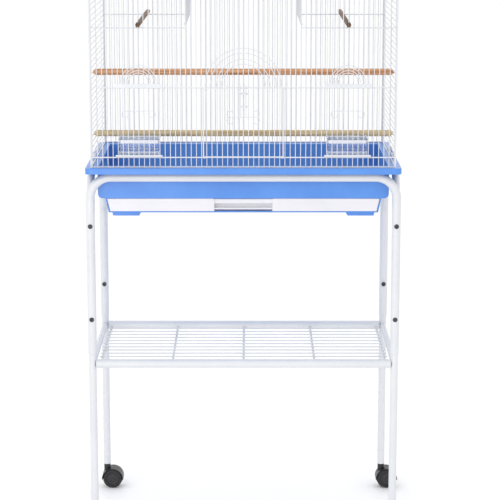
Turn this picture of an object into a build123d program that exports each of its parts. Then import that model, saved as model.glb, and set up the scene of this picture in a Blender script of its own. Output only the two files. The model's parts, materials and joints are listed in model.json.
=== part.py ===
from build123d import *
import os

# Bird cage on a rolling stand, in millimetres.
# Origin: on the floor under the middle of the cage. +X is to the right, -Y is the front, +Z is up.

os.makedirs("parts", exist_ok=True)

# ---- wire cage ----
bar_pitch = 12.83
bars_each_side = 29
half_width = 375.2
half_depth = 228.6
bar_diameter = 2.0
rail_diameter = 3.0
post_diameter = 4.0
weld_gap = 0.03
sill_height = 992.0
lintel_height = 1164.0
upper_rail_height = 1310.0
top_rail_height = 1450.0
side_wire_spaces = 34
side_upright_y = -64.0

# ---- doors ----
door_half_width = 98.0
door_bars = 7
door_plane_gap = 3.6
door_hinge_bay = 7.5
hinge_clearance = 0.06
feeder_bay = 20
feeder_door_bars = 3
feeder_door_half_width = 57.5
feeder_door_bottom = 996.0
feeder_door_rod = 5.0
feeder_band_height = 10.0
eye_radius = 2.7
hinge_eye_length = 5.0
hinge_eye_diameter = 5.6

# ---- latch and finger bars ----
latch_gap = 3.25
latch_height = 1092.0
latch_finger_height = 1169.0
latch_half_width = 32.0
latch_scroll = 8.0
guide_heights = (1118.0, 1150.0)
guide_diameter = 4.0
guide_length = 4.0
guide_edge = 1.5
guide_reach = 2.2
scroll_bar_height = 1107.5
scroll_bar_half_width = 33.0
scroll_bar_curl = 8.0
scroll_bar_sink = 0.3
scroll_turn = 250

# ---- fan ornaments over the doors ----
fan_radii = (93.0, 81.0, 66.0, 54.0)
small_fan_radii = (43.0, 37.0, 30.0, 24.0)

# ---- feeders ----
feeder_width = 98.0
feeder_depth = 54.0
feeder_front = -221.5
feeder_bottom = 994.0
feeder_height = 44.0
feeder_wall = 1.8
feeder_round = 8.0
feeder_lip = 2.0
feeder_lip_height = 4.0
feeder_tab_x = 30.0
feeder_tab_half_width = 4.0
feeder_tab_end = -231.9
feeder_tab_top = 996.4

# ---- perches ----
perch_diameter = 16.0
perch_tenon_diameter = 10.0
perch_overhang = 6.5
perch_chamfer = 1.2
upper_perch_space = 15
lower_perch_space = 4
short_perch_diameter = 12.0
short_perch_bay = 20
short_perch_overhang = 8.0
slot_clearance = 0.2

# ---- upper partitions ----
partition_bay = 11
partition_bottom = 1316.0
partition_bars_each_side = 16

# ---- plastic base ----
rim_top = 965.5
rim_height = 15.0
rim_half_width = 391.0
rim_half_depth = 240.5
rim_corner = 14.0
plastic_wall = 3.0
tub_half_width = 362.5
tub_half_depth = 198.0
tub_bottom = 884.0
tub_round = 12.0
bay_top_half_width = 344.0
bay_bottom_half_width = 336.5
bay_bottom = 848.5
foot_length = 74.0
foot_width = 30.0
foot_height = 9.5
foot_inset = 8.0
foot_slope = 6.0
foot_draft = 3.0
rib_thickness = 2.4
long_rib_pitch = 85.0
short_rib_pitch = 80.0
window_ledge = 8.0
window_end_ledge = 13.0

# ---- floor grille ----
grille_half_width = 348.0
grille_half_depth = 187.5
grille_bars_each_side = 26

# ---- clips ----
clip_y = 60.0
clip_half_length = 9.0
clip_height = 12.0
clip_round = 2.5

# ---- drawer ----
drawer_gap = 0.5
drawer_side_gap = 1.3
drawer_wall = 2.5
drawer_front_wall = 3.0
drawer_front_proud = 1.0
grip_half_width = 72.5
grip_depth = 13.0
grip_round = 7.0
grip_lip_bottom = 857.0
grip_lip_top = 860.0
grip_lip_setback = 1.5
grip_brow_bottom = 870.0
grip_brow_setback = 3.0

# ---- stand ----
leg_x = 381.0
leg_y = 212.5
tube_diameter = 22.0
tube_wall = 1.2
arch_bend = 53.0
arch_end = 490.0
lower_leg_diameter = 19.4
lower_leg_wall = 1.4
lower_leg_top = 600.0
lower_leg_bottom = 68.0
side_tube_diameter = 19.0
side_tube_bend = 40.0
side_tube_end = 795.0
brace_gap = 0.3
front_upper_bolt_height = 817.0
rear_upper_bolt_height = 836.0
lower_bolt_height = 579.0
bolt_diameter = 6.0
bolt_hole = 6.4
bolt_head_diameter = 12.0
bolt_head_height = 3.5
bolt_head_round = 2.4
nut_width = 10.0
nut_height = 5.0

# ---- shelf ----
shelf_height = 463.0
shelf_tube_diameter = 21.5
shelf_side_diameter = 16.0
shelf_rail_half_length = 372.0
shelf_rod_diameter = 6.0
shelf_rod_drop = 6.0
shelf_rod_spacing = 181.0
shelf_wire_diameter = 3.5
shelf_wire_half_length = 369.0
shelf_wire_pitch = 34.0
shelf_wires_each_side = 5

# ---- casters ----
wheel_diameter = 52.0
wheel_width = 14.0
wheel_spacing = 12.5
caster_trail = 15.0
hood_clearance = 1.2
hood_thickness = 2.3
hood_half_width = 21.0
web_thickness = 9.0
axle_diameter = 6.0
axle_clearance = 0.05
hub_cap = 4.0
stem_diameter = 10.0
stem_top = 104.0
socket_length = 42.0
socket_lip = 1.6
socket_play = 0.1
hood_cut_drop = 2.0
web_sink = 0.5
web_drop = 14.0
neck_diameter = 18.0
neck_rise = 16.0
neck_gap = 0.4
stem_sink = 4.0
tread_round = 2.5
dish_depth = 2.0
dish_rim = 8.0
hub_play = 0.3

FRONT = -1
REAR = 1
LEFT = -1
RIGHT = 1
SIDES = {"left": LEFT, "right": RIGHT}
ENDS = {"front": FRONT, "rear": REAR}


def rod(start, end, diameter):
    """Straight round bar between two points."""
    line = Vector(*end) - Vector(*start)
    place = Plane(origin=start, z_dir=line.normalized())
    return place * Cylinder(diameter / 2, line.length, align=(Align.CENTER, Align.CENTER, Align.MIN))


def pipe(start, end, diameter, wall):
    """Straight tube between two points."""
    return rod(start, end, diameter) - rod(start, end, diameter - 2 * wall)


def block(low, high):
    """Box between two opposite corners."""
    size = Vector(*high) - Vector(*low)
    return Pos(*low) * Box(size.X, size.Y, size.Z, align=(Align.MIN, Align.MIN, Align.MIN))


def bent_tube(points, bend, diameter, wall):
    """Tube along straight runs joined by bends."""
    path = FilletPolyline(*points, radius=bend)
    ring = Circle(diameter / 2) - Circle(diameter / 2 - wall)
    return sweep(Plane(origin=path @ 0, z_dir=path % 0) * ring, path=path)


def prism_along_y(outline, y_low, y_high):
    """Solid with an outline in X and Z, from y_low to y_high."""
    face = make_face(Polyline(*[(x, y_low, z) for x, z in outline], close=True))
    return extrude(face, amount=y_high - y_low, dir=(0, 1, 0))


def save(node, *pieces):
    """One STEP file for one node, with each of its solids."""
    solids = [solid for piece in pieces for solid in piece.solids()]
    export_step(Compound(solids), f"parts/{node}.step")


# ---- wire panels ----

rail_inset = (bar_diameter + rail_diameter) / 2 + weld_gap
bars_bottom = rim_top + 2 * weld_gap
bars_top = top_rail_height + bar_diameter / 2
bottom_rail_height = rim_top + rail_diameter / 2 + weld_gap
long_rail_end = half_width - post_diameter / 2 - weld_gap
side_wire_end = half_depth - post_diameter / 2 - weld_gap
side_wire_pitch = (top_rail_height - bottom_rail_height) / side_wire_spaces
upright_x = half_width - rail_inset


def long_rail(y, height, x_start=-long_rail_end, x_end=long_rail_end):
    """Cross wire along X."""
    return rod((x_start, y, height), (x_end, y, height), rail_diameter)


def front_bars():
    """Upright wires of the front, cut away at the main door and at the two feeder doors."""
    pieces = []
    for bay in range(-bars_each_side, bars_each_side + 1):
        at_door = abs(bay) <= door_bars
        at_feeder = abs(abs(bay) - feeder_bay) <= feeder_door_bars
        x = bay * bar_pitch
        y = -half_depth
        if at_door or at_feeder:
            sill_end = sill_height + rail_diameter / 2
            lintel_end = lintel_height - rail_diameter / 2
            pieces.append(rod((x, y, bars_bottom), (x, y, sill_end), bar_diameter))
            pieces.append(rod((x, y, lintel_end), (x, y, bars_top), bar_diameter))
        else:
            pieces.append(rod((x, y, bars_bottom), (x, y, bars_top), bar_diameter))
    return pieces


def front_rails():
    """Cross wires of the front: the sill and lintel lie outside the bars, the others inside."""
    inside = -half_depth + rail_inset
    outside = -half_depth - rail_inset
    inner_end = partition_bay * bar_pitch
    return [
        long_rail(inside, bottom_rail_height),
        long_rail(outside, sill_height),
        long_rail(outside, lintel_height),
        long_rail(inside, upper_rail_height, -long_rail_end, -inner_end),
        long_rail(inside, upper_rail_height, inner_end, long_rail_end),
        long_rail(inside, top_rail_height),
    ]


def rear_bars():
    """Upright wires of the back."""
    pieces = []
    for bay in range(-bars_each_side, bars_each_side + 1):
        x = bay * bar_pitch
        pieces.append(rod((x, half_depth, bars_bottom), (x, half_depth, bars_top), bar_diameter))
    return pieces


def rear_rails():
    """Cross wires of the back."""
    inside = half_depth - rail_inset
    inner_end = partition_bay * bar_pitch
    return [
        long_rail(inside, bottom_rail_height),
        long_rail(inside, sill_height),
        long_rail(inside, lintel_height),
        long_rail(inside, upper_rail_height, -long_rail_end, -inner_end),
        long_rail(inside, upper_rail_height, inner_end, long_rail_end),
        long_rail(inside, top_rail_height),
    ]


def side_wall(side):
    """Wires from front to back, one above the other, on one upright that also takes the perches."""
    pieces = []
    x = side * half_width
    for space in range(side_wire_spaces + 1):
        height = bottom_rail_height + space * side_wire_pitch
        at_edge = space in (0, side_wire_spaces)
        wire_diameter = rail_diameter if at_edge else bar_diameter
        pieces.append(rod((x, -side_wire_end, height), (x, side_wire_end, height), wire_diameter))
    low = (side * upright_x, side_upright_y, bottom_rail_height + rail_diameter / 2 + weld_gap)
    high = (side * upright_x, side_upright_y, top_rail_height - rail_diameter / 2 - weld_gap)
    pieces.append(rod(low, high, rail_diameter))
    return pieces


def corner_posts():
    """Thicker wires at the four corners."""
    pieces = []
    for side in SIDES.values():
        for end in ENDS.values():
            x = side * half_width
            y = end * half_depth
            pieces.append(rod((x, y, bars_bottom), (x, y, bars_top), post_diameter))
    return pieces


def roof():
    """Wires from front to back over the top, with three cross wires under them."""
    pieces = []
    height = top_rail_height + rail_inset
    cross_end = half_width - 2 * rail_inset
    for bay in range(-bars_each_side, bars_each_side + 1):
        x = bay * bar_pitch
        pieces.append(rod((x, -half_depth, height), (x, half_depth, height), bar_diameter))
    for y in (-half_depth / 2, 0, half_depth / 2):
        pieces.append(long_rail(y, top_rail_height, -cross_end, cross_end))
    return pieces


def upper_partition(side):
    """Wire panel that hangs from the roof, from front to back."""
    pieces = []
    x = side * partition_bay * bar_pitch
    rail_x = x + side * rail_inset
    end = half_depth - 2 * rail_inset - weld_gap
    top = top_rail_height - rail_diameter / 2 - 2 * weld_gap
    for bay in range(-partition_bars_each_side, partition_bars_each_side + 1):
        y = bay * bar_pitch
        pieces.append(rod((x, y, partition_bottom), (x, y, top), bar_diameter))
    for height in (partition_bottom + rail_diameter / 2, top - rail_diameter):
        pieces.append(rod((rail_x, -end, height), (rail_x, end, height), rail_diameter))
    return pieces


def fan_ornaments():
    """Concentric half rings on the bars over the main door and over each feeder door."""
    y = -half_depth - bar_diameter - weld_gap
    feeder_x = feeder_bay * bar_pitch
    door_fan_height = lintel_height + rail_diameter / 2 + bar_diameter
    feeder_fan_height = lintel_height + feeder_band_height + bar_diameter
    fans = [
        (0, door_fan_height, fan_radii),
        (-feeder_x, feeder_fan_height, small_fan_radii),
        (feeder_x, feeder_fan_height, small_fan_radii),
    ]
    rings = []
    for x, height, radii in fans:
        for radius in radii:
            ring = Torus(radius, bar_diameter / 2, major_angle=180, align=None)
            rings.append(Pos(x, y, height) * Rot(90, 0, 0) * ring)
    return rings


# ---- doors ----

rail_front = -half_depth - rail_inset
door_y = rail_front - door_plane_gap
door_bottom = sill_height + rail_diameter / 2
latch_y = door_y - latch_gap
latch_x = bar_pitch / 2


def scroll_bar(centre, y, height, half_width_x, curl_radius, rises):
    """Finger bar along X with a scroll at each end, above it (1), below it (-1) or both."""
    bar = rod((centre - half_width_x, y, height), (centre + half_width_x, y, height), bar_diameter)
    curl = Torus(curl_radius, bar_diameter / 2, major_angle=scroll_turn, align=None)
    upright = Rot(90, 0, 0) * Rot(0, 0, -90) * curl
    for side in SIDES.values():
        for rise in rises:
            turned = mirror(upright, Plane.XY) if rise < 0 else upright
            faced = mirror(turned, Plane.YZ) if side == LEFT else turned
            bar += Pos(centre + side * half_width_x, y, height + rise * curl_radius) * faced
    return bar


def main_door():
    """Drop-down wire door with two hinge eyes round the sill and guides for the latch."""
    left_low = (-door_half_width, door_y, door_bottom)
    right_low = (door_half_width, door_y, door_bottom)
    left_high = (-door_half_width, door_y, lintel_height)
    right_high = (door_half_width, door_y, lintel_height)
    door = rod(left_low, right_low, rail_diameter)
    door += rod(left_high, right_high, rail_diameter)
    door += rod(left_low, left_high, rail_diameter)
    door += rod(right_low, right_high, rail_diameter)
    for corner in (left_low, right_low, left_high, right_high):
        door += Pos(*corner) * Sphere(rail_diameter / 2)
    for bay in range(-door_bars, door_bars + 1):
        x = bay * bar_pitch
        door += rod((x, door_y, door_bottom), (x, door_y, lintel_height), bar_diameter)
    for side in SIDES.values():
        eye_x = side * door_hinge_bay * bar_pitch
        eye_start = (eye_x - hinge_eye_length / 2, rail_front, sill_height)
        eye_end = (eye_x + hinge_eye_length / 2, rail_front, sill_height)
        door += rod(eye_start, eye_end, hinge_eye_diameter)
    for height in guide_heights:
        low = height - guide_length / 2
        plate_half_width = bar_pitch + guide_edge
        plate_low = (-plate_half_width, door_y - guide_reach, low)
        plate_high = (plate_half_width, door_y - guide_edge / 4, low + guide_length)
        door += block(plate_low, plate_high)
        for x in (-latch_x, latch_x):
            door += rod((x, latch_y, low), (x, latch_y, low + guide_length), guide_diameter)
    sill_bore = rail_diameter + 2 * hinge_clearance
    door -= rod((-half_width, rail_front, sill_height), (half_width, rail_front, sill_height), sill_bore)
    guide_bore = bar_diameter + 2 * hinge_clearance
    for x in (-latch_x, latch_x):
        door -= rod((x, latch_y, latch_height), (x, latch_y, lintel_height), guide_bore)
    return door


def door_latch():
    """Lift latch: a scrolled finger bar, two uprights and two fingers over the lintel."""
    finger_end = -half_depth + rail_inset
    latch = scroll_bar(0, latch_y, latch_height, latch_half_width, latch_scroll, (-1, 1))
    for x in (-latch_x, latch_x):
        latch += rod((x, latch_y, latch_height), (x, latch_y, latch_finger_height), bar_diameter)
        latch += Pos(x, latch_y, latch_finger_height) * Sphere(bar_diameter / 2)
        latch += rod((x, latch_y, latch_finger_height), (x, finger_end, latch_finger_height), bar_diameter)
    return latch


def feeder_door(side):
    """Guillotine wire door with a scrolled finger bar; its eyes slide on the two bars beside it."""
    centre = side * feeder_bay * bar_pitch
    low = feeder_door_bottom
    band_middle = lintel_height + feeder_band_height / 2
    left = centre - feeder_door_half_width
    right = centre + feeder_door_half_width
    door = rod((left, door_y, low), (right, door_y, low), feeder_door_rod)
    band_low = (left, door_y - bar_diameter / 2, lintel_height)
    band_high = (right, door_y + bar_diameter / 2, lintel_height + feeder_band_height)
    door += block(band_low, band_high)
    for bay in range(-feeder_door_bars, feeder_door_bars + 1):
        x = centre + bay * bar_pitch
        door += rod((x, door_y, low), (x, door_y, band_middle), bar_diameter)
    for edge in (-1, 1):
        x = centre + edge * (feeder_door_bars + 1) * bar_pitch
        for height in (low, band_middle):
            door += Pos(x, -half_depth, height) * Torus(eye_radius, bar_diameter / 2)
            door += rod((x, -half_depth - eye_radius, height), (x, door_y, height), bar_diameter)
    finger_y = door_y - bar_diameter + scroll_bar_sink
    door += scroll_bar(
        centre, finger_y, scroll_bar_height, scroll_bar_half_width, scroll_bar_curl, (-1,)
    )
    return door


# ---- feeders ----

def feeder_cup(side):
    """Open seed cup with a thick lip and two tabs that rest on the sill wire."""
    centre = side * feeder_bay * bar_pitch
    left = centre - feeder_width / 2
    right = centre + feeder_width / 2
    rear = feeder_front + feeder_depth
    top = feeder_bottom + feeder_height
    cup = block((left, feeder_front, feeder_bottom), (right, rear, top))
    cup = fillet(cup.edges().filter_by(Axis.X).group_by(Axis.Z)[0], feeder_round)
    lip_low = (left - feeder_lip, feeder_front, top - feeder_lip_height)
    lip_high = (right + feeder_lip, rear + feeder_lip, top)
    lip = block(lip_low, lip_high)
    cup += fillet(lip.edges().filter_by(Axis.Z).group_by(Axis.Y)[-1], feeder_lip)
    for place in (-feeder_tab_x, feeder_tab_x):
        tab_low = (centre + place - feeder_tab_half_width, feeder_tab_end, door_bottom + 2 * weld_gap)
        tab_high = (centre + place + feeder_tab_half_width, feeder_front + feeder_round + 1, feeder_tab_top)
        cup += block(tab_low, tab_high)
    inner_low = (left + feeder_wall, feeder_front + feeder_wall, feeder_bottom + feeder_wall)
    inner_high = (right - feeder_wall, rear - feeder_wall, top + 1)
    hollow = block(inner_low, inner_high)
    bottom_edges = hollow.edges().filter_by(Axis.X).group_by(Axis.Z)[0]
    return cup - fillet(bottom_edges, feeder_round - feeder_wall)


# ---- perches ----

def long_perch(space):
    """Dowel from side to side. Its tenons rest on a side wire and have a slot over each upright."""
    y = side_upright_y
    rest_height = bottom_rail_height + space * side_wire_pitch
    z = rest_height + (bar_diameter + perch_tenon_diameter) / 2 + weld_gap
    shoulder = half_width - bar_diameter / 2 - 2 * weld_gap
    end = half_width + perch_overhang
    slot_start = upright_x - rail_diameter / 2 - slot_clearance
    slot_half = rail_diameter / 2 + slot_clearance
    perch = rod((-shoulder, y, z), (shoulder, y, z), perch_diameter)
    perch += rod((-end, y, z), (end, y, z), perch_tenon_diameter)
    end_edges = perch.edges().filter_by(GeomType.CIRCLE).group_by(Axis.X)
    perch = chamfer(end_edges[0] + end_edges[-1], perch_chamfer)
    for side in SIDES.values():
        x_values = sorted((side * slot_start, side * (end + 1)))
        low = (x_values[0], y - slot_half, z - perch_diameter)
        high = (x_values[1], y + slot_half, z + perch_diameter)
        perch -= block(low, high)
    return perch


def short_perch(side):
    """Dowel from front to back, slotted over a bar at each end, resting on the upper cross wires."""
    x = side * short_perch_bay * bar_pitch
    z = upper_rail_height + rail_diameter / 2 + short_perch_diameter / 2 + weld_gap
    end = half_depth + short_perch_overhang
    slot_start = half_depth - bar_diameter / 2 - 2 * slot_clearance
    slot_half = bar_diameter / 2 + slot_clearance
    perch = rod((x, -end, z), (x, end, z), short_perch_diameter)
    perch = chamfer(perch.edges().filter_by(GeomType.CIRCLE), perch_chamfer)
    for face in ENDS.values():
        y_values = sorted((face * slot_start, face * (end + 1)))
        low = (x - slot_half, y_values[0], z - short_perch_diameter)
        high = (x + slot_half, y_values[1], z + short_perch_diameter)
        perch -= block(low, high)
    return perch


# ---- plastic base ----

def base_tray():
    """Deep tub with a ribbed rim, a drawer bay under it and four feet."""
    rim = Pos(0, 0, rim_top - rim_height) * extrude(
        RectangleRounded(2 * rim_half_width, 2 * rim_half_depth, rim_corner), amount=rim_height)
    rim = chamfer(rim.edges().group_by(Axis.Z)[-1], 1.5)
    rim -= Pos(0, 0, rim_top - rim_height - plastic_wall) * extrude(
        RectangleRounded(2 * (rim_half_width - plastic_wall), 2 * (rim_half_depth - plastic_wall),
                         rim_corner - plastic_wall), amount=rim_height)
    tub = block((-tub_half_width, -tub_half_depth, tub_bottom), (tub_half_width, tub_half_depth, rim_top - 1))
    tub = fillet(tub.edges().filter_by(Axis.Y).group_by(Axis.Z)[0], tub_round)
    bay_outline = [
        (-bay_bottom_half_width, bay_bottom), (bay_bottom_half_width, bay_bottom),
        (bay_top_half_width, tub_bottom + 1), (-bay_top_half_width, tub_bottom + 1),
    ]
    bay = prism_along_y(bay_outline, -tub_half_depth, tub_half_depth)
    tray = rim + tub + bay
    for place in range(-4, 5):
        for end in ENDS.values():
            y_values = sorted((end * (tub_half_depth - 1), end * (rim_half_depth - 1)))
            x = place * long_rib_pitch
            low = (x - rib_thickness / 2, y_values[0], rim_top - rim_height)
            high = (x + rib_thickness / 2, y_values[1], rim_top - plastic_wall + 1)
            tray += block(low, high)
    for place in range(-2, 3):
        for side in SIDES.values():
            x_values = sorted((side * (tub_half_width - 1), side * (rim_half_width - 1)))
            y = place * short_rib_pitch
            low = (x_values[0], y - rib_thickness / 2, rim_top - rim_height)
            high = (x_values[1], y + rib_thickness / 2, rim_top - plastic_wall + 1)
            tray += block(low, high)
    inner = plastic_wall
    tub_low = (-tub_half_width + inner, -tub_half_depth + inner, tub_bottom + inner)
    tub_high = (tub_half_width - inner, tub_half_depth - inner, rim_top + 1)
    tub_hollow = block(tub_low, tub_high)
    tub_hollow = fillet(tub_hollow.edges().filter_by(Axis.Y).group_by(Axis.Z)[0], tub_round - inner)
    low_half = bay_bottom_half_width - inner
    high_half = bay_top_half_width - inner
    bay_hollow_outline = [
        (-low_half, bay_bottom + inner), (low_half, bay_bottom + inner),
        (high_half, tub_bottom), (-high_half, tub_bottom),
    ]
    bay_hollow = prism_along_y(bay_hollow_outline, -tub_half_depth - 1, tub_half_depth - inner)
    window_half_width = bay_top_half_width - window_ledge
    window_half_depth = tub_half_depth - window_end_ledge
    window = block((-window_half_width, -window_half_depth, tub_bottom - 1),
                   (window_half_width, window_half_depth, tub_bottom + inner + 1))
    tray -= tub_hollow + bay_hollow + window
    foot_outer = bay_bottom_half_width - foot_inset
    foot_end = tub_half_depth - foot_inset
    for side in SIDES.values():
        for end in ENDS.values():
            outline = [
                (side * foot_outer, bay_bottom + 1), (side * (foot_outer - foot_length), bay_bottom + 1),
                (side * (foot_outer - foot_length + foot_slope), bay_bottom - foot_height),
                (side * (foot_outer - foot_draft), bay_bottom - foot_height),
            ]
            y_values = sorted((end * foot_end, end * (foot_end - foot_width)))
            tray += prism_along_y(outline, y_values[0], y_values[1])
    return tray


def litter_drawer():
    """Shallow drawer with a notch in its front, a brow and a lip for the fingers."""
    bottom = bay_bottom + plastic_wall + drawer_gap
    top = tub_bottom - 2 * drawer_gap
    low_half = bay_bottom_half_width - plastic_wall - drawer_side_gap
    top_half = bay_top_half_width - plastic_wall - drawer_side_gap
    front = -tub_half_depth - drawer_front_proud
    rear = tub_half_depth - 2 * plastic_wall
    wall = drawer_wall
    outline = [(-low_half, bottom), (low_half, bottom), (top_half, top), (-top_half, top)]
    drawer = prism_along_y(outline, front, rear)
    hollow_outline = [
        (-low_half + wall, bottom + wall), (low_half - wall, bottom + wall),
        (top_half - wall, top + wall), (-top_half + wall, top + wall),
    ]
    drawer -= prism_along_y(hollow_outline, front + drawer_front_wall, rear - wall)
    grip_rear = front + grip_depth
    shell_half = grip_half_width + wall
    drawer += block((-shell_half, front, bottom), (shell_half, grip_rear + wall, top))
    notch = block((-grip_half_width, front - 1, bottom - 1), (grip_half_width, grip_rear, top + 1))
    drawer -= fillet(notch.edges().filter_by(Axis.Z).group_by(Axis.Y)[-1], grip_round)
    lip_low = (-grip_half_width - 1, front + grip_lip_setback, grip_lip_bottom)
    lip = block(lip_low, (grip_half_width + 1, grip_rear + 1, grip_lip_top))
    brow_low = (-grip_half_width - 1, front + grip_brow_setback, grip_brow_bottom)
    brow = block(brow_low, (grip_half_width + 1, grip_rear + 1, top))
    brow = fillet(brow.edges().filter_by(Axis.X).group_by(Axis.Y)[0], grip_brow_setback)
    return drawer + lip + brow


def floor_grille():
    """Wire floor that lies on the ledge of the tub, over the drawer."""
    frame_z = tub_bottom + plastic_wall + post_diameter / 2 + weld_gap
    wire_z = frame_z + (post_diameter + bar_diameter) / 2 + weld_gap
    end_x = grille_half_width
    end_y = grille_half_depth
    pieces = []
    for y in (-end_y, 0, end_y):
        pieces.append(rod((-end_x, y, frame_z), (end_x, y, frame_z), post_diameter))
    for bay in range(-grille_bars_each_side, grille_bars_each_side + 1):
        x = bay * bar_pitch
        pieces.append(rod((x, -end_y, wire_z), (x, end_y, wire_z), bar_diameter))
    return pieces


def cage_clips():
    """Clips on the rim, outside the side bars, that hold the cage down."""
    clips = []
    for side in SIDES.values():
        for end in ENDS.values():
            y = end * clip_y
            inner = half_width + rail_diameter / 2 + weld_gap
            x_values = sorted((side * inner, side * (rim_half_width - clip_round)))
            low = (x_values[0], y - clip_half_length, rim_top + weld_gap)
            high = (x_values[1], y + clip_half_length, rim_top + clip_height)
            clip = block(low, high)
            clips.append(fillet(clip.edges().filter_by(Axis.Y).group_by(Axis.Z)[-1], clip_round))
    return clips


# ---- stand ----

arch_height = rim_top - rim_height - tube_diameter / 2 - weld_gap
side_tube_height = rim_top - rim_height - side_tube_diameter / 2 - weld_gap
side_tube_y = leg_y - tube_diameter / 2 - side_tube_diameter / 2 - brace_gap


upper_bolt_heights = {FRONT: front_upper_bolt_height, REAR: rear_upper_bolt_height}


def bolt_holes(side_x, height):
    """Clearance hole from front to back through everything at one side."""
    return rod((side_x, -rim_half_depth, height), (side_x, rim_half_depth, height), bolt_hole)


def stand_arch(end):
    """Tube that makes two legs and the top of one end of the stand."""
    y = end * leg_y
    points = [(-leg_x, y, arch_end), (-leg_x, y, arch_height), (leg_x, y, arch_height), (leg_x, y, arch_end)]
    arch = bent_tube(points, arch_bend, tube_diameter, tube_wall)
    for side in SIDES.values():
        arch -= bolt_holes(side * leg_x, upper_bolt_heights[end])
        arch -= bolt_holes(side * leg_x, lower_bolt_height)
    return arch


def side_brace(side):
    """Tube from the front leg to the rear leg, under the rim of the base."""
    x = side * leg_x
    points = [
        (x, -side_tube_y, side_tube_end), (x, -side_tube_y, side_tube_height),
        (x, side_tube_y, side_tube_height), (x, side_tube_y, side_tube_end),
    ]
    brace = bent_tube(points, side_tube_bend, side_tube_diameter, tube_wall)
    for end in ENDS.values():
        y_values = sorted((0, end * rim_half_depth))
        height = upper_bolt_heights[end]
        brace -= rod((x, y_values[0], height), (x, y_values[1], height), bolt_hole)
    return brace


def lower_leg(side, end):
    """Straight tube that plugs into the arch."""
    x = side * leg_x
    y = end * leg_y
    leg = pipe((x, y, lower_leg_bottom), (x, y, lower_leg_top), lower_leg_diameter, lower_leg_wall)
    return leg - bolt_holes(x, lower_bolt_height)


def caster_socket(side, end):
    """Plastic plug in the foot of a leg, with a bore for the caster's stem."""
    x = side * leg_x
    y = end * leg_y
    plug_diameter = lower_leg_diameter - 2 * lower_leg_wall - socket_play
    plug = rod((x, y, lower_leg_bottom), (x, y, lower_leg_bottom + socket_length), plug_diameter)
    plug += rod((x, y, lower_leg_bottom - socket_lip), (x, y, lower_leg_bottom), lower_leg_diameter)
    bore = stem_diameter + 2 * axle_clearance
    bore_low = (x, y, lower_leg_bottom - 2 * socket_lip)
    bore_high = (x, y, lower_leg_bottom + socket_length + 1)
    return plug - rod(bore_low, bore_high, bore)


def leg_bolt(side, end, height, grip):
    """Domed bolt from the outer face of a leg inwards."""
    x = side * leg_x
    outer = end * (leg_y + tube_diameter / 2 + weld_gap)
    tip = outer - end * (grip + nut_height)
    head = rod((x, outer, height), (x, outer + end * bolt_head_height, height), bolt_head_diameter)
    head = fillet(head.faces().sort_by(Axis.Y)[-1 if end == REAR else 0].edges(), bolt_head_round)
    return head + rod((x, outer, height), (x, tip, height), bolt_diameter)


def leg_nut(side, end, height, grip):
    """Hexagon nut on the inner end of a bolt."""
    x = side * leg_x
    outer = end * (leg_y + tube_diameter / 2 + weld_gap)
    start = outer - end * (grip + 2 * weld_gap)
    place = Plane(origin=(x, start, height), z_dir=(0, -end, 0))
    hexagon = RegularPolygon(radius=nut_width / 2, side_count=6, major_radius=False)
    bore = Circle(bolt_diameter / 2 + weld_gap)
    return extrude(place * (hexagon - bore), amount=nut_height)


def fasteners(maker):
    """Every bolt, or every nut, of the stand."""
    pieces = []
    upper_grip = tube_diameter + side_tube_diameter + brace_gap
    for side in SIDES.values():
        for end in ENDS.values():
            pieces.append(maker(side, end, upper_bolt_heights[end], upper_grip))
            pieces.append(maker(side, end, lower_bolt_height, tube_diameter))
    return pieces


# ---- shelf ----

def leg_cutters():
    """Cylinders just larger than the legs, to shape the tube ends that meet them."""
    cutters = []
    for side in SIDES.values():
        for end in ENDS.values():
            x = side * leg_x
            y = end * leg_y
            low = shelf_height - shelf_tube_diameter
            high = shelf_height + shelf_tube_diameter
            cutters.append(rod((x, y, low), (x, y, high), lower_leg_diameter + 2 * weld_gap))
    return cutters


def shelf_frame():
    """Four tubes between the legs."""
    pieces = []
    cutters = leg_cutters()
    for end in ENDS.values():
        y = end * leg_y
        rail_start = (-shelf_rail_half_length, y, shelf_height)
        rail_end = (shelf_rail_half_length, y, shelf_height)
        pieces.append(pipe(rail_start, rail_end, shelf_tube_diameter, tube_wall) - cutters)
    for side in SIDES.values():
        x = side * leg_x
        start = (x, -leg_y, shelf_height)
        finish = (x, leg_y, shelf_height)
        pieces.append(pipe(start, finish, shelf_side_diameter, tube_wall) - cutters)
    return pieces


def shelf_cross_rods():
    """Rods from the front rail to the rear rail."""
    pieces = []
    z = shelf_height - shelf_rod_drop
    for place in range(-2, 3):
        x = place * shelf_rod_spacing
        cross = rod((x, -leg_y, z), (x, leg_y, z), shelf_rod_diameter)
        for end in ENDS.values():
            y = end * leg_y
            start = (-half_width, y, shelf_height)
            finish = (half_width, y, shelf_height)
            cross -= rod(start, finish, shelf_tube_diameter + 2 * weld_gap)
        pieces.append(cross)
    return pieces


def shelf_long_wires():
    """Wires from side to side, on the cross rods."""
    pieces = []
    z = shelf_height - shelf_rod_drop + (shelf_rod_diameter + shelf_wire_diameter) / 2 + weld_gap
    for place in range(-shelf_wires_each_side, shelf_wires_each_side + 1):
        y = place * shelf_wire_pitch
        start = (-shelf_wire_half_length, y, z)
        finish = (shelf_wire_half_length, y, z)
        pieces.append(rod(start, finish, shelf_wire_diameter))
    return pieces


# ---- casters ----

wheel_radius = wheel_diameter / 2
hood_inner = wheel_radius + hood_clearance
hood_outer = hood_inner + hood_thickness


def caster_axis(side, end):
    """X and Y of the wheel's middle: the rear casters trail to the right, the front ones to the left."""
    trail = caster_trail if end == REAR else -caster_trail
    return side * leg_x + trail, end * leg_y


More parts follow.
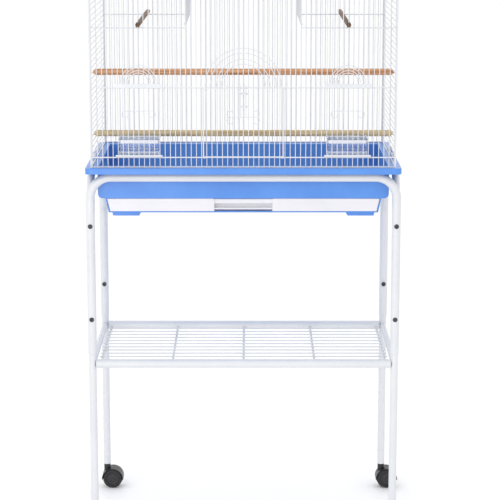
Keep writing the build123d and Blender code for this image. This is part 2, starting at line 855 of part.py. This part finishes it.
def caster_housing(side, end):
    """Hood, middle web and stem of one caster."""
    x, y = caster_axis(side, end)
    low = y - hood_half_width
    high = y + hood_half_width
    hood = rod((x, low, wheel_radius), (x, high, wheel_radius), 2 * hood_outer)
    hood -= rod((x, low - 1, wheel_radius), (x, high + 1, wheel_radius), 2 * hood_inner)
    cut_low = (x - 2 * hood_outer, low - 1, -hood_outer)
    cut_high = (x + 2 * hood_outer, high + 1, wheel_radius - hood_cut_drop)
    hood -= block(cut_low, cut_high)
    web_half = web_thickness / 2
    web = rod((x, y - web_half, wheel_radius), (x, y + web_half, wheel_radius), 2 * (hood_inner + web_sink))
    web -= block((x - 2 * hood_outer, low, -hood_outer), (x + 2 * hood_outer, high, wheel_radius - web_drop))
    stem_x = side * leg_x
    neck_low = wheel_radius + neck_rise
    neck_high = lower_leg_bottom - socket_lip - neck_gap
    neck = rod((stem_x, y, neck_low), (stem_x, y, neck_high), neck_diameter)
    neck -= rod((x, low - 1, wheel_radius), (x, high + 1, wheel_radius), 2 * hood_inner)
    stem = rod((stem_x, y, neck_high - stem_sink), (stem_x, y, stem_top), stem_diameter)
    housing = hood + web + neck + stem
    bore = axle_diameter + 2 * axle_clearance
    return housing - rod((x, low - 1, wheel_radius), (x, high + 1, wheel_radius), bore)


def caster_axle(side, end):
    """Pin through the web and both wheels."""
    x, y = caster_axis(side, end)
    reach = wheel_spacing + wheel_width / 2 - hub_cap
    return rod((x, y - reach, wheel_radius), (x, y + reach, wheel_radius), axle_diameter)


def caster_wheels(side, end):
    """Two wheels with rounded treads and dished faces."""
    x, y = caster_axis(side, end)
    wheels = []
    for face in (-1, 1):
        inner = y + face * (wheel_spacing - wheel_width / 2)
        outer = y + face * (wheel_spacing + wheel_width / 2)
        wheel = rod((x, inner, wheel_radius), (x, outer, wheel_radius), wheel_diameter)
        wheel = fillet(wheel.edges().filter_by(GeomType.CIRCLE), tread_round)
        dish_start = outer - face * dish_depth
        dish_diameter = wheel_diameter - 2 * dish_rim
        wheel -= rod((x, dish_start, wheel_radius), (x, outer + face, wheel_radius), dish_diameter)
        bore = axle_diameter + 2 * axle_clearance
        bore_end = outer - face * (hub_cap - hub_play)
        wheel -= rod((x, inner - face, wheel_radius), (x, bore_end, wheel_radius), bore)
        wheels.append(wheel)
    return wheels


# ---- nodes ----

save("front_bars", *front_bars())
save("front_rails", *front_rails())
save("rear_bars", *rear_bars())
save("rear_rails", *rear_rails())
save("corner_posts", *corner_posts())
save("roof", *roof())
save("fan_ornaments", *fan_ornaments())
save("main_door", main_door())
save("door_latch", door_latch())
save("upper_perch", long_perch(upper_perch_space))
save("lower_perch", long_perch(lower_perch_space))
save("base_tray", base_tray())
save("litter_drawer", litter_drawer())
save("floor_grille", *floor_grille())
save("cage_clips", *cage_clips())
save("leg_bolts", *fasteners(leg_bolt))
save("leg_nuts", *fasteners(leg_nut))
save("shelf_frame", *shelf_frame())
save("shelf_cross_rods", *shelf_cross_rods())
save("shelf_long_wires", *shelf_long_wires())
save("caster_sockets", *[caster_socket(side, end) for side in SIDES.values() for end in ENDS.values()])
for end_name, end in ENDS.items():
    save(f"{end_name}_arch", stand_arch(end))
for side_name, side in SIDES.items():
    save(f"{side_name}_wall", *side_wall(side))
    save(f"{side_name}_upper_partition", *upper_partition(side))
    save(f"{side_name}_short_perch", short_perch(side))
    save(f"{side_name}_feeder_door", feeder_door(side))
    save(f"{side_name}_feeder_cup", feeder_cup(side))
    save(f"{side_name}_brace", side_brace(side))
    for end_name, end in ENDS.items():
        corner = f"{end_name}_{side_name}"
        save(f"{corner}_lower_leg", lower_leg(side, end))
        save(f"{corner}_caster_housing", caster_housing(side, end))
        save(f"{corner}_caster_axle", caster_axle(side, end))
        save(f"{corner}_caster_wheels", *caster_wheels(side, end))
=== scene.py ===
import json
import math
import random

import bmesh
import bpy
from mathutils import Matrix, Vector


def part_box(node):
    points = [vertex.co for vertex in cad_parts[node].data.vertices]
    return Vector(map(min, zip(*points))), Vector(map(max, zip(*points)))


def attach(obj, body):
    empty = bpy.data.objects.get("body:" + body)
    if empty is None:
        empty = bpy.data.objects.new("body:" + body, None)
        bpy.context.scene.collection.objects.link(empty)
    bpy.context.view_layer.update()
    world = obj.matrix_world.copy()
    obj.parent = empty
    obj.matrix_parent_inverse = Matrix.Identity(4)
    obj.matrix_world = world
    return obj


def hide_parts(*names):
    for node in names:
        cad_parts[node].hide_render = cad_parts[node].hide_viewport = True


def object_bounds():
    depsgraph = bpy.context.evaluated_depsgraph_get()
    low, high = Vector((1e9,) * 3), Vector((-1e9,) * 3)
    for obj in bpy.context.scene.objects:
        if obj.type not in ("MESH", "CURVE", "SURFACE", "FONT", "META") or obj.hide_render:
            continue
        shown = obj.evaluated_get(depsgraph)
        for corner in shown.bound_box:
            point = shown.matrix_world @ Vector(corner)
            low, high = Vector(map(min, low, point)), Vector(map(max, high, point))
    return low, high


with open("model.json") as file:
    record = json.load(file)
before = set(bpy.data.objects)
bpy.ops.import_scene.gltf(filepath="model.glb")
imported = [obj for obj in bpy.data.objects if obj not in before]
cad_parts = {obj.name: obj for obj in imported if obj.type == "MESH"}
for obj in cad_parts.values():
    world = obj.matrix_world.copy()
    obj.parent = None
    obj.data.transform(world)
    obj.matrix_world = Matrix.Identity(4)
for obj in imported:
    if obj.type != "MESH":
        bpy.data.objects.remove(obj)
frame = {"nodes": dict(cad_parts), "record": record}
cad_low, cad_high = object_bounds()

X_AXIS = 0
Y_AXIS = 1
Z_AXIS = 2
WHITE = (1.0, 1.0, 1.0, 1.0)
CORNERS = ("front_left", "front_right", "rear_left", "rear_right")

# Sizes in metres.
SAME_PLACE = 0.000001
WIRE_CONTACT = 0.0001
BEAD_RADIUS = 0.0017
BEAD_FLATNESS = 0.75
BEAD_SIZES = (0.85, 1.1)
TURNED_SIDES = 28
CUP_LIP = 0.002
CUP_LIP_HEIGHT = 0.0042
CUP_LENGTH = 0.054
CUP_CORNER = 0.006
CUP_CORNER_STEPS = 6
BAND_HEIGHT = 0.0086
LINE_HEIGHT = 0.0115
HEAD_HEIGHT = 0.0035
HEAD_FLAT_AREA = 0.0000004
RECESS_LENGTH = 0.0056
RECESS_WIDTH = 0.0011
RECESS_DEPTH = 0.0036
RECESS_PLACE = -0.0034
HUB_SINK = 0.002
FLOOR_RADIUS = 60.0
FLOOR_SIDES = 96
FLOOR_DROP = 0.0004

# Turned outlines: (radius, offset along the axis).
SCREW_OUTLINE = [
    (0.003, 0.024), (0.003, 0.0), (0.006, 0.0), (0.0059, -0.0006),
    (0.0053, -0.0015), (0.0042, -0.0026), (0.0028, -0.0033), (0.0012, -0.0035),
]
HUB_OUTLINE = [
    (0.0175, 0.0), (0.0175, 0.0008), (0.0168, 0.0014), (0.0156, 0.0014), (0.015, 0.0007),
    (0.0085, 0.0007), (0.0078, 0.0013), (0.0062, 0.0015), (0.0055, 0.0011), (0.002, 0.0012),
]


# ---- node materials ----

def linear(red, green, blue):
    """Linear colour from the 0 to 255 values that a screen shows."""
    def channel(value):
        share = value / 255
        return share / 12.92 if share <= 0.04045 else ((share + 0.055) / 1.055) ** 2.4
    return (channel(red), channel(green), channel(blue), 1.0)


class Shader:
    """A Principled material with its object coordinates, and short ways to add nodes to it."""

    def __init__(self, name, **sockets):
        self.material = bpy.data.materials.new(name)
        self.material.use_nodes = True
        self.nodes = self.material.node_tree.nodes
        self.links = self.material.node_tree.links
        self.principled = self.nodes["Principled BSDF"]
        self.place = self.nodes.new("ShaderNodeTexCoord").outputs["Object"]
        for socket, value in sockets.items():
            self.principled.inputs[socket.replace("_", " ")].default_value = value

    def stretched(self, scale):
        """Object coordinates multiplied by three factors."""
        mapping = self.nodes.new("ShaderNodeMapping")
        mapping.inputs["Scale"].default_value = scale
        self.links.new(self.place, mapping.inputs["Vector"])
        return mapping.outputs["Vector"]

    def noise(self, scale, detail=3.0, rough=0.5, vector=None, distortion=0.0):
        """Smooth noise over the object coordinates or another vector."""
        noise = self.nodes.new("ShaderNodeTexNoise")
        noise.inputs["Scale"].default_value = scale
        noise.inputs["Detail"].default_value = detail
        noise.inputs["Roughness"].default_value = rough
        noise.inputs["Distortion"].default_value = distortion
        self.links.new(vector or self.place, noise.inputs["Vector"])
        return noise.outputs["Fac"]

    def ramp(self, factor, *stops):
        """Colour ramp with (position, colour) stops."""
        ramp = self.nodes.new("ShaderNodeValToRGB")
        elements = ramp.color_ramp.elements
        elements[0].position, elements[0].color = stops[0]
        elements[1].position, elements[1].color = stops[-1]
        for position, colour in stops[1:-1]:
            elements.new(position).color = colour
        self.links.new(factor, ramp.inputs["Fac"])
        return ramp.outputs["Color"]

    def ranged(self, factor, low, high):
        """The middle part of a noise factor spread from low to high."""
        spread = self.nodes.new("ShaderNodeMapRange")
        spread.inputs["From Min"].default_value = 0.3
        spread.inputs["From Max"].default_value = 0.7
        spread.inputs["To Min"].default_value = low
        spread.inputs["To Max"].default_value = high
        self.links.new(factor, spread.inputs["Value"])
        return spread.outputs["Result"]

    def colour(self, output):
        self.links.new(output, self.principled.inputs["Base Color"])

    def roughness(self, output):
        self.links.new(output, self.principled.inputs["Roughness"])

    def bump(self, height, strength, distance):
        """Surface relief on top of what the material already has."""
        bump = self.nodes.new("ShaderNodeBump")
        bump.inputs["Strength"].default_value = strength
        bump.inputs["Distance"].default_value = distance
        before = self.principled.inputs["Normal"].links
        if before:
            self.links.new(before[0].from_socket, bump.inputs["Normal"])
        self.links.new(height, bump.inputs["Height"])
        self.links.new(bump.outputs["Normal"], self.principled.inputs["Normal"])


def painted(name, light, dark, gloss, peel_scale, peel_depth, coat=0.0):
    """Paint, powder coat or moulded plastic: faint colour drift, uneven gloss and a fine surface."""
    shader = Shader(name, Coat_Weight=coat, Coat_Roughness=0.12)
    drift = shader.noise(9.0, 4.0, 0.6)
    shader.colour(shader.ramp(drift, (0.3, dark), (0.7, light)))
    shader.roughness(shader.ranged(shader.noise(45.0, 4.0, 0.6), gloss[0], gloss[1]))
    shader.bump(shader.noise(peel_scale, 2.0, 0.5), 0.35, peel_depth)
    return shader.material


def grain_scale(across, lengthwise, along):
    """Three scale factors, one of them for the direction of the grain."""
    scale = [across, across, across]
    scale[along] = lengthwise
    return scale


def wood(name, light, middle, dark, along):
    """Dowel wood: long grain streaks, growth bands and open pores along one axis."""
    shader = Shader(name, Specular_IOR_Level=0.35)
    bands = shader.noise(1.0, 3.0, 0.55, shader.stretched(grain_scale(40.0, 2.2, along)), 0.6)
    streaks = shader.noise(1.0, 5.0, 0.65, shader.stretched(grain_scale(150.0, 5.0, along)), 0.3)
    pores = shader.noise(1.0, 2.0, 0.5, shader.stretched(grain_scale(700.0, 30.0, along)))
    broad = shader.ramp(bands, (0.3, middle), (0.72, light))
    grain = shader.ramp(streaks, (0.38, dark), (0.55, WHITE))
    mix = shader.nodes.new("ShaderNodeMix")
    mix.data_type = "RGBA"
    mix.blend_type = "MULTIPLY"
    mix.inputs["Factor"].default_value = 0.55
    shader.links.new(broad, mix.inputs["A"])
    shader.links.new(grain, mix.inputs["B"])
    shader.colour(mix.outputs["Result"])
    shader.roughness(shader.ranged(streaks, 0.62, 0.42))
    shader.bump(streaks, 0.4, 0.0003)
    shader.bump(pores, 0.5, 0.0002)
    return shader.material


def metal(name, light, dark, rough):
    """Plated or blackened steel with uneven tone, gloss and a fine surface."""
    shader = Shader(name, Metallic=1.0)
    shader.colour(shader.ramp(shader.noise(60.0, 4.0, 0.6), (0.3, dark), (0.7, light)))
    shader.roughness(shader.ranged(shader.noise(220.0, 3.0, 0.6), rough[0], rough[1]))
    shader.bump(shader.noise(900.0, 2.0, 0.5), 0.3, 0.00004)
    return shader.material


def clear(name, tint, transmission, rough, ior):
    """Clear plastic with a faint haze and scratches."""
    shader = Shader(name, Transmission_Weight=transmission, IOR=ior)
    haze = shader.noise(35.0, 4.0, 0.6)
    shader.colour(shader.ramp(haze, (0.3, tint), (0.7, WHITE)))
    shader.roughness(shader.ranged(haze, rough[0], rough[1]))
    scratch = shader.noise(1.0, 3.0, 0.5, shader.stretched((900.0, 60.0, 25.0)))
    shader.bump(scratch, 0.15, 0.00005)
    return shader.material


WHITE_WIRE = painted(
    "white_coated_wire", linear(217, 219, 223), linear(208, 210, 215),
    gloss=(0.28, 0.42), peel_scale=500.0, peel_depth=0.00015, coat=0.3)
WHITE_TUBE = painted(
    "white_powder_coat", linear(218, 220, 223), linear(211, 213, 217),
    gloss=(0.25, 0.4), peel_scale=420.0, peel_depth=0.00022, coat=0.4)
BLUE = painted(
    "blue_moulded_plastic", linear(84, 143, 222), linear(74, 131, 214),
    gloss=(0.28, 0.4), peel_scale=1100.0, peel_depth=0.00008, coat=0.2)
WHITE_PLASTIC = painted(
    "white_moulded_plastic", linear(224, 223, 228), linear(217, 216, 222),
    gloss=(0.3, 0.42), peel_scale=1100.0, peel_depth=0.00006, coat=0.15)
BLACK_PLASTIC = painted(
    "black_moulded_nylon", linear(30, 29, 32), linear(18, 17, 20),
    gloss=(0.3, 0.45), peel_scale=1300.0, peel_depth=0.0001)
HUB_PLASTIC = painted(
    "grained_hub_nylon", linear(46, 44, 48), linear(28, 26, 30),
    gloss=(0.35, 0.6), peel_scale=1700.0, peel_depth=0.0004)
CUP_PLASTIC = clear(
    "clear_cup_plastic", linear(226, 236, 252), transmission=0.96, rough=(0.08, 0.16), ior=1.3)
MILKY = painted(
    "milky_plastic", linear(228, 230, 238), linear(219, 222, 231),
    gloss=(0.3, 0.42), peel_scale=1100.0, peel_depth=0.00006, coat=0.2)
STEEL = metal("zinc_plated_wire", linear(205, 207, 212), linear(170, 173, 180), rough=(0.22, 0.4))
DARK_STEEL = metal("blackened_steel", linear(92, 92, 96), linear(58, 58, 62), rough=(0.3, 0.5))
RED_WOOD = wood(
    "red_brown_dowel", linear(216, 168, 128), linear(196, 142, 102), linear(160, 112, 78), X_AXIS)
TAN_WOOD = wood(
    "tan_dowel", linear(216, 198, 160), linear(200, 180, 142), linear(166, 144, 108), X_AXIS)
DARK_WOOD = wood("dark_dowel", linear(128, 92, 62), linear(92, 68, 50), linear(48, 36, 28), Y_AXIS)

SLOT_MATERIALS = {
    "white_wire": WHITE_WIRE,
    "white_tube": WHITE_TUBE,
    "blue_plastic": BLUE,
    "white_plastic": WHITE_PLASTIC,
    "frosted_plastic": CUP_PLASTIC,
    "steel_wire": STEEL,
    "red_wood": RED_WOOD,
    "tan_wood": TAN_WOOD,
    "dark_wood": DARK_WOOD,
    "dark_steel": DARK_STEEL,
    "black_plastic": BLACK_PLASTIC,
}


def dress(thing, material):
    """One material on every face of a mesh."""
    thing.data.materials.clear()
    thing.data.materials.append(material)


node_slots = {part["node"]: part["material_slot"] for part in frame["record"]["subparts"]}
for name, node in frame["nodes"].items():
    dress(node, SLOT_MATERIALS[node_slots[name]])


# ---- shapes ----

def solid_boxes(node_name):
    """Low and high corner of each separate solid of a CAD node."""
    shape = bmesh.new()
    shape.from_mesh(frame["nodes"][node_name].data)
    bmesh.ops.remove_doubles(shape, verts=shape.verts, dist=SAME_PLACE)
    seen = set()
    boxes = []
    for start in shape.verts:
        if start in seen:
            continue
        seen.add(start)
        waiting = [start]
        low = start.co.copy()
        high = start.co.copy()
        while waiting:
            vertex = waiting.pop()
            for axis in range(3):
                low[axis] = min(low[axis], vertex.co[axis])
                high[axis] = max(high[axis], vertex.co[axis])
            for edge in vertex.link_edges:
                other = edge.other_vert(vertex)
                if other not in seen:
                    seen.add(other)
                    waiting.append(other)
        boxes.append((low, high))
    shape.free()
    return boxes


def as_piece(name, shape, material, body):
    """Smooth mesh piece made of a bmesh, in one material, riding on a CAD body."""
    mesh = bpy.data.meshes.new(name)
    shape.to_mesh(mesh)
    shape.free()
    mesh.polygons.foreach_set("use_smooth", [True] * len(mesh.polygons))
    piece = bpy.data.objects.new(name, mesh)
    bpy.context.scene.collection.objects.link(piece)
    dress(piece, material)
    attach(piece, body)
    return piece


def long_axis(box):
    """Number of the axis along which a box is longest."""
    size = box[1] - box[0]
    return max(range(3), key=lambda axis: size[axis])


def wire_crossings(first_wires, second_wires):
    """Middle of the contact of every two wires that cross and touch, and the axis between them."""
    crossings = []
    for first in first_wires:
        along_first = long_axis(first)
        for second in second_wires:
            along_second = long_axis(second)
            if along_first == along_second:
                continue
            between = X_AXIS + Y_AXIS + Z_AXIS - along_first - along_second
            overlap_low = [max(first[0][axis], second[0][axis]) for axis in range(3)]
            overlap_high = [min(first[1][axis], second[1][axis]) for axis in range(3)]
            meets = all(overlap_low[axis] < overlap_high[axis] + WIRE_CONTACT for axis in range(3))
            if meets and overlap_high[between] - overlap_low[between] < WIRE_CONTACT:
                middle = [(overlap_low[axis] + overlap_high[axis]) / 2 for axis in range(3)]
                crossings.append((Vector(middle), between))
    return crossings


def weld_beads(name, crossings):
    """Small uneven fillets of weld and coating where wires cross."""
    shape = bmesh.new()
    for place, between in crossings:
        size = [BEAD_RADIUS * chance.uniform(*BEAD_SIZES) for axis in range(3)]
        size[between] *= BEAD_FLATNESS
        matrix = Matrix.Translation(place) @ Matrix.Diagonal((*size, 1.0))
        bmesh.ops.create_icosphere(shape, subdivisions=1, radius=1.0, matrix=matrix)
    as_piece(name, shape, WHITE_WIRE, "root")


def turned(shape, centre, axis, outline):
    """Solid of revolution: an outline spun round a centre line."""
    turn = Vector((0.0, 0.0, 1.0)).rotation_difference(Vector(axis)).to_matrix()
    rings = []
    for radius, offset in outline:
        ring = []
        for step in range(TURNED_SIDES):
            angle = math.tau * step / TURNED_SIDES
            spot = Vector((radius * math.cos(angle), radius * math.sin(angle), offset))
            ring.append(shape.verts.new(Vector(centre) + turn @ spot))
        rings.append(ring)
    for inner, outer in zip(rings, rings[1:]):
        for step in range(TURNED_SIDES):
            after = (step + 1) % TURNED_SIDES
            shape.faces.new((inner[step], inner[after], outer[after], outer[step]))
    shape.faces.new(rings[-1])
    shape.faces.new(tuple(reversed(rings[0])))


# ---- weld beads of the wire panels ----

chance = random.Random(7)
PANELS = {
    "front_panel_weld_beads": ("front_bars", "front_rails"),
    "rear_panel_weld_beads": ("rear_bars", "rear_rails"),
    "left_wall_weld_beads": ("left_wall", "left_wall"),
    "right_wall_weld_beads": ("right_wall", "right_wall"),
    "roof_weld_beads": ("roof", "roof"),
    "grille_weld_beads": ("floor_grille", "floor_grille"),
    "shelf_weld_beads": ("shelf_long_wires", "shelf_cross_rods"),
}

for name, (first_node, second_node) in PANELS.items():
    crossings = wire_crossings(solid_boxes(first_node), solid_boxes(second_node))
    if first_node == second_node:
        # Each crossing was found twice. Their number is odd, so every second one leaves each once.
        crossings = crossings[::2]
    weld_beads(name, crossings)


# ---- rims of the feeders ----

def cup_ring(shape, low, high, section):
    """Closed ring round a cup: a section of (offset outwards, height) points along its outline."""
    quarters = (
        (high.x - CUP_CORNER, high.y - CUP_CORNER), (low.x + CUP_CORNER, high.y - CUP_CORNER),
        (low.x + CUP_CORNER, low.y + CUP_CORNER), (high.x - CUP_CORNER, low.y + CUP_CORNER),
    )
    loops = []
    for offset, height in section:
        loop = []
        radius = CUP_CORNER + offset
        for quarter, (centre_x, centre_y) in enumerate(quarters):
            for step in range(CUP_CORNER_STEPS + 1):
                angle = math.pi / 2 * (quarter + step / CUP_CORNER_STEPS)
                spot = (centre_x + radius * math.cos(angle), centre_y + radius * math.sin(angle), height)
                loop.append(shape.verts.new(spot))
        loops.append(loop)
    loops.append(loops[0])
    count = len(loops[0])
    for inner, outer in zip(loops, loops[1:]):
        for step in range(count):
            after = (step + 1) % count
            shape.faces.new((inner[step], inner[after], outer[after], outer[step]))


def feeder_band(side):
    """Milky band round the top of a cup and a moulded line lower down."""
    cup_low, cup_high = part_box(f"{side}_feeder_cup")
    low = Vector((cup_low.x + CUP_LIP, cup_high.y - CUP_LIP - CUP_LENGTH, cup_low.z))
    high = Vector((cup_high.x - CUP_LIP, cup_high.y - CUP_LIP, cup_high.z))
    top = high.z - CUP_LIP_HEIGHT
    line = low.z + LINE_HEIGHT
    shape = bmesh.new()
    cup_ring(shape, low, high, [
        (0.0001, top), (0.0007, top), (0.0009, top - 0.001), (0.0009, top - 0.0078),
        (0.0005, top - BAND_HEIGHT), (0.0001, top - BAND_HEIGHT),
    ])
    cup_ring(shape, low, high, [
        (0.0001, line), (0.0006, line), (0.0009, line - 0.0006), (0.0009, line - 0.0014),
        (0.0006, line - 0.002), (0.0001, line - 0.002),
    ])
    bmesh.ops.recalc_face_normals(shape, faces=shape.faces)
    as_piece(f"{side}_feeder_band", shape, MILKY, f"{side}_feeder")


for side in ("left", "right"):
    feeder_band(side)


# ---- screws of the stand ----

def loose_object(name, shape):
    """Object made of a bmesh, used only while another mesh is made."""
    bmesh.ops.recalc_face_normals(shape, faces=shape.faces)
    mesh = bpy.data.meshes.new(name)
    shape.to_mesh(mesh)
    shape.free()
    thing = bpy.data.objects.new(name, mesh)
    bpy.context.scene.collection.objects.link(thing)
    return thing


def cross_recess_screw():
    """Mesh of a domed screw with its face towards -Z, a cross recess in it and a shank behind it."""
    dome = bmesh.new()
    turned(dome, (0.0, 0.0, 0.0), (0.0, 0.0, 1.0), SCREW_OUTLINE)
    cutter = bmesh.new()
    slot_size = Matrix.Diagonal((RECESS_LENGTH, RECESS_WIDTH, RECESS_DEPTH, 1.0))
    for turn in (0.0, math.pi / 2):
        place = Matrix.Rotation(turn, 4, "Z") @ Matrix.Translation((0.0, 0.0, RECESS_PLACE))
        bmesh.ops.create_cube(cutter, size=1.0, matrix=place @ slot_size)
    head = loose_object("head", dome)
    recess = loose_object("recess", cutter)
    cut = head.modifiers.new("recess", "BOOLEAN")
    cut.operation = "DIFFERENCE"
    cut.solver = "EXACT"
    cut.use_self = True
    cut.object = recess
    bpy.context.view_layer.update()
    evaluated = head.evaluated_get(bpy.context.evaluated_depsgraph_get())
    made = bpy.data.meshes.new_from_object(evaluated)
    bpy.data.objects.remove(head)
    bpy.data.objects.remove(recess)
    return made


def leg_screws():
    """The screws of the legs, each turned a little differently."""
    screw = cross_recess_screw()
    shape = bmesh.new()
    face_front = Matrix.Rotation(-math.pi / 2, 4, "X")
    for low, high in solid_boxes("leg_bolts"):
        middle = (low + high) / 2
        seat = Matrix.Translation((middle.x, low.y + HEAD_HEIGHT, middle.z))
        turn = Matrix.Rotation(chance.uniform(0.0, math.pi / 2), 4, "Z")
        part = screw.copy()
        part.transform(seat @ face_front @ turn)
        shape.from_mesh(part)
        bpy.data.meshes.remove(part)
    bpy.data.meshes.remove(screw)
    piece = as_piece("cross_recess_screws", shape, DARK_STEEL, "root")
    for polygon in piece.data.polygons:
        polygon.use_smooth = polygon.area < HEAD_FLAT_AREA
    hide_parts("leg_bolts")


leg_screws()


# ---- wheel hubs ----

def hub_covers(corner):
    """Ringed covers in the dished sides of one caster's wheels."""
    shape = bmesh.new()
    wheels = solid_boxes(f"{corner}_caster_wheels")
    centre = (wheels[0][0] + wheels[0][1]) / 2
    faces = (min(low.y for low, high in wheels), max(high.y for low, high in wheels))
    for face, outward in zip(faces, (-1.0, 1.0)):
        seat = (centre.x, face - outward * HUB_SINK, centre.z)
        turned(shape, seat, (0.0, outward, 0.0), HUB_OUTLINE)
    bmesh.ops.recalc_face_normals(shape, faces=shape.faces)
    as_piece(f"{corner}_hub_covers", shape, HUB_PLASTIC, f"{corner}_wheels")


for corner in CORNERS:
    hub_covers(corner)


# ---- floor, light and camera ----

def make_floor():
    """Wide pale floor with a faint unevenness, flat where the object stands."""
    mesh = bpy.data.meshes.new("studio_floor")
    shape = bmesh.new()
    bmesh.ops.create_circle(shape, cap_ends=True, segments=FLOOR_SIDES, radius=FLOOR_RADIUS)
    shape.to_mesh(mesh)
    shape.free()
    floor = bpy.data.objects.new("studio_floor", mesh)
    bpy.context.scene.collection.objects.link(floor)
    floor.location = (0.0, 0.0, cad_low.z - FLOOR_DROP)
    pale = painted(
        "pale_floor", linear(254, 254, 254), linear(253, 253, 253),
        gloss=(0.45, 0.6), peel_scale=40.0, peel_depth=0.0002)
    dress(floor, pale)


def make_light(name, place, target, size, power):
    """Soft square lamp aimed at a point."""
    data = bpy.data.lights.new(name, "AREA")
    data.shape = "SQUARE"
    data.size = size
    data.energy = power
    lamp = bpy.data.objects.new(name, data)
    bpy.context.scene.collection.objects.link(lamp)
    lamp.location = place
    lamp.rotation_euler = (Vector(target) - Vector(place)).to_track_quat("-Z", "Y").to_euler()


def make_world(strength):
    """Even white surroundings."""
    world = bpy.data.worlds.new("studio")
    world.use_nodes = True
    background = world.node_tree.nodes["Background"]
    background.inputs["Color"].default_value = WHITE
    background.inputs["Strength"].default_value = strength
    bpy.context.scene.world = world


def make_camera():
    """A long lens about 4.6 m in front of the object and 1.7 m up, tilted a little down."""
    data = bpy.data.cameras.new("camera")
    data.lens = 136.8
    data.sensor_width = 36.0
    data.clip_end = 200.0
    camera = bpy.data.objects.new("camera", data)
    bpy.context.scene.collection.objects.link(camera)
    camera.location = (0.0165, -4.8695, 1.677)
    camera.rotation_euler = (math.radians(78.81), 0.0, 0.0)
    bpy.context.scene.camera = camera


bpy.context.scene.view_settings.view_transform = "Standard"
make_floor()
make_world(1.03)
middle = (cad_low + cad_high) / 2
make_light("key", (-2.2, -3.2, 4.2), middle, 2.4, 26.0)
make_light("fill", (2.6, -2.6, 2.4), middle, 2.6, 3.0)
make_light("top", (0.0, 0.6, 4.6), middle, 3.0, 10.0)
make_light("low_front", (-1.3, -4.0, 0.8), (0.0, 0.0, 0.9), 2.0, 26.0)
make_camera()
